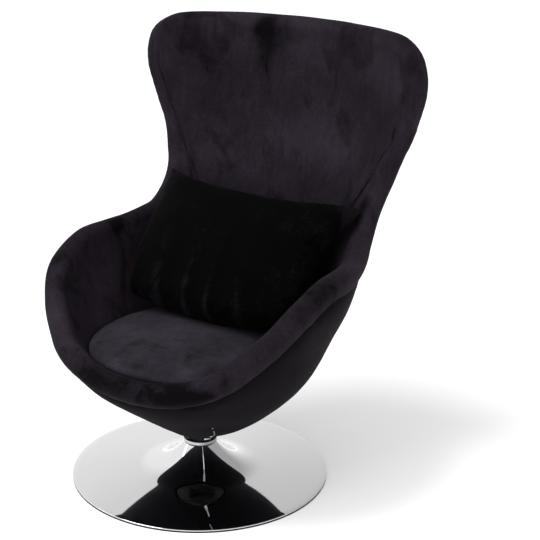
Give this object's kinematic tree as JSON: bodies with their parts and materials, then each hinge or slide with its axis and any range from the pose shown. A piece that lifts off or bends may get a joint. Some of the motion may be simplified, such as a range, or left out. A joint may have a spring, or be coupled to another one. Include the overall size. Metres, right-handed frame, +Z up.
{
  "type": "swivel egg lounge chair",
  "caption": "Upholstered egg-shaped lounge chair with a winged back, low arms, seat pad and loose pillow, swivelling on a round polished trumpet base.",
  "frame": {"origin": "the point on the floor where the swivel axis meets it", "axes": "+Z up along the swivel axis, -Y to the front of the seat at rest, +X to the right seen from the front"},
  "size_m": [0.687, 0.6986, 0.957],
  "materials": {
    "chrome_base": "mirror polished",
    "zip_metal": "bright",
    "floor_glide": "matte",
    "black_steel": "satin black",
    "bright_steel": "zinc plated",
    "bearing_plastic": "matte",
    "plywood": "raw",
    "hem_plastic": "matte",
    "black_velvet": "velvet pile",
    "pad_velvet": "velvet pile",
    "pillow_velvet": "velvet pile"
  },
  "bodies": {
    "base": {"base_trumpet": "chrome_base", "floor_ring": "floor_glide", "floor_plate": "black_steel", "plate_screws": "bright_steel", "column_tube": "black_steel", "neck_collar": "chrome_base", "upper_bush": "bearing_plastic", "lower_bush": "bearing_plastic", "thrust_washer": "bearing_plastic"},
    "seat": {"spindle": "bright_steel", "spindle_clip": "bright_steel", "swivel_plate": "black_steel", "bolt_washers": "bright_steel", "plate_bolts": "bright_steel", "seat_board": "plywood", "tee_nuts": "bright_steel", "hem_ring": "hem_plastic", "outer_shell": "black_velvet", "inner_lining": "black_velvet", "edge_roll": "black_velvet", "seat_pad": "pad_velvet", "zip_pull": "zip_metal"},
    "pillow": {"back_pillow": "pillow_velvet"}
  },
  "joints": [
    {"name": "swivel", "type": "hinge", "parent": "base", "child": "seat", "pos_m": [0, 0, 0], "axis": [0, 0, 1], "continuous": true},
    {"name": "pillow_lift", "type": "slide", "parent": "seat", "child": "pillow", "axis": [0, -0.682, 0.7314], "range_m": [0, 0.35]}
  ]
}
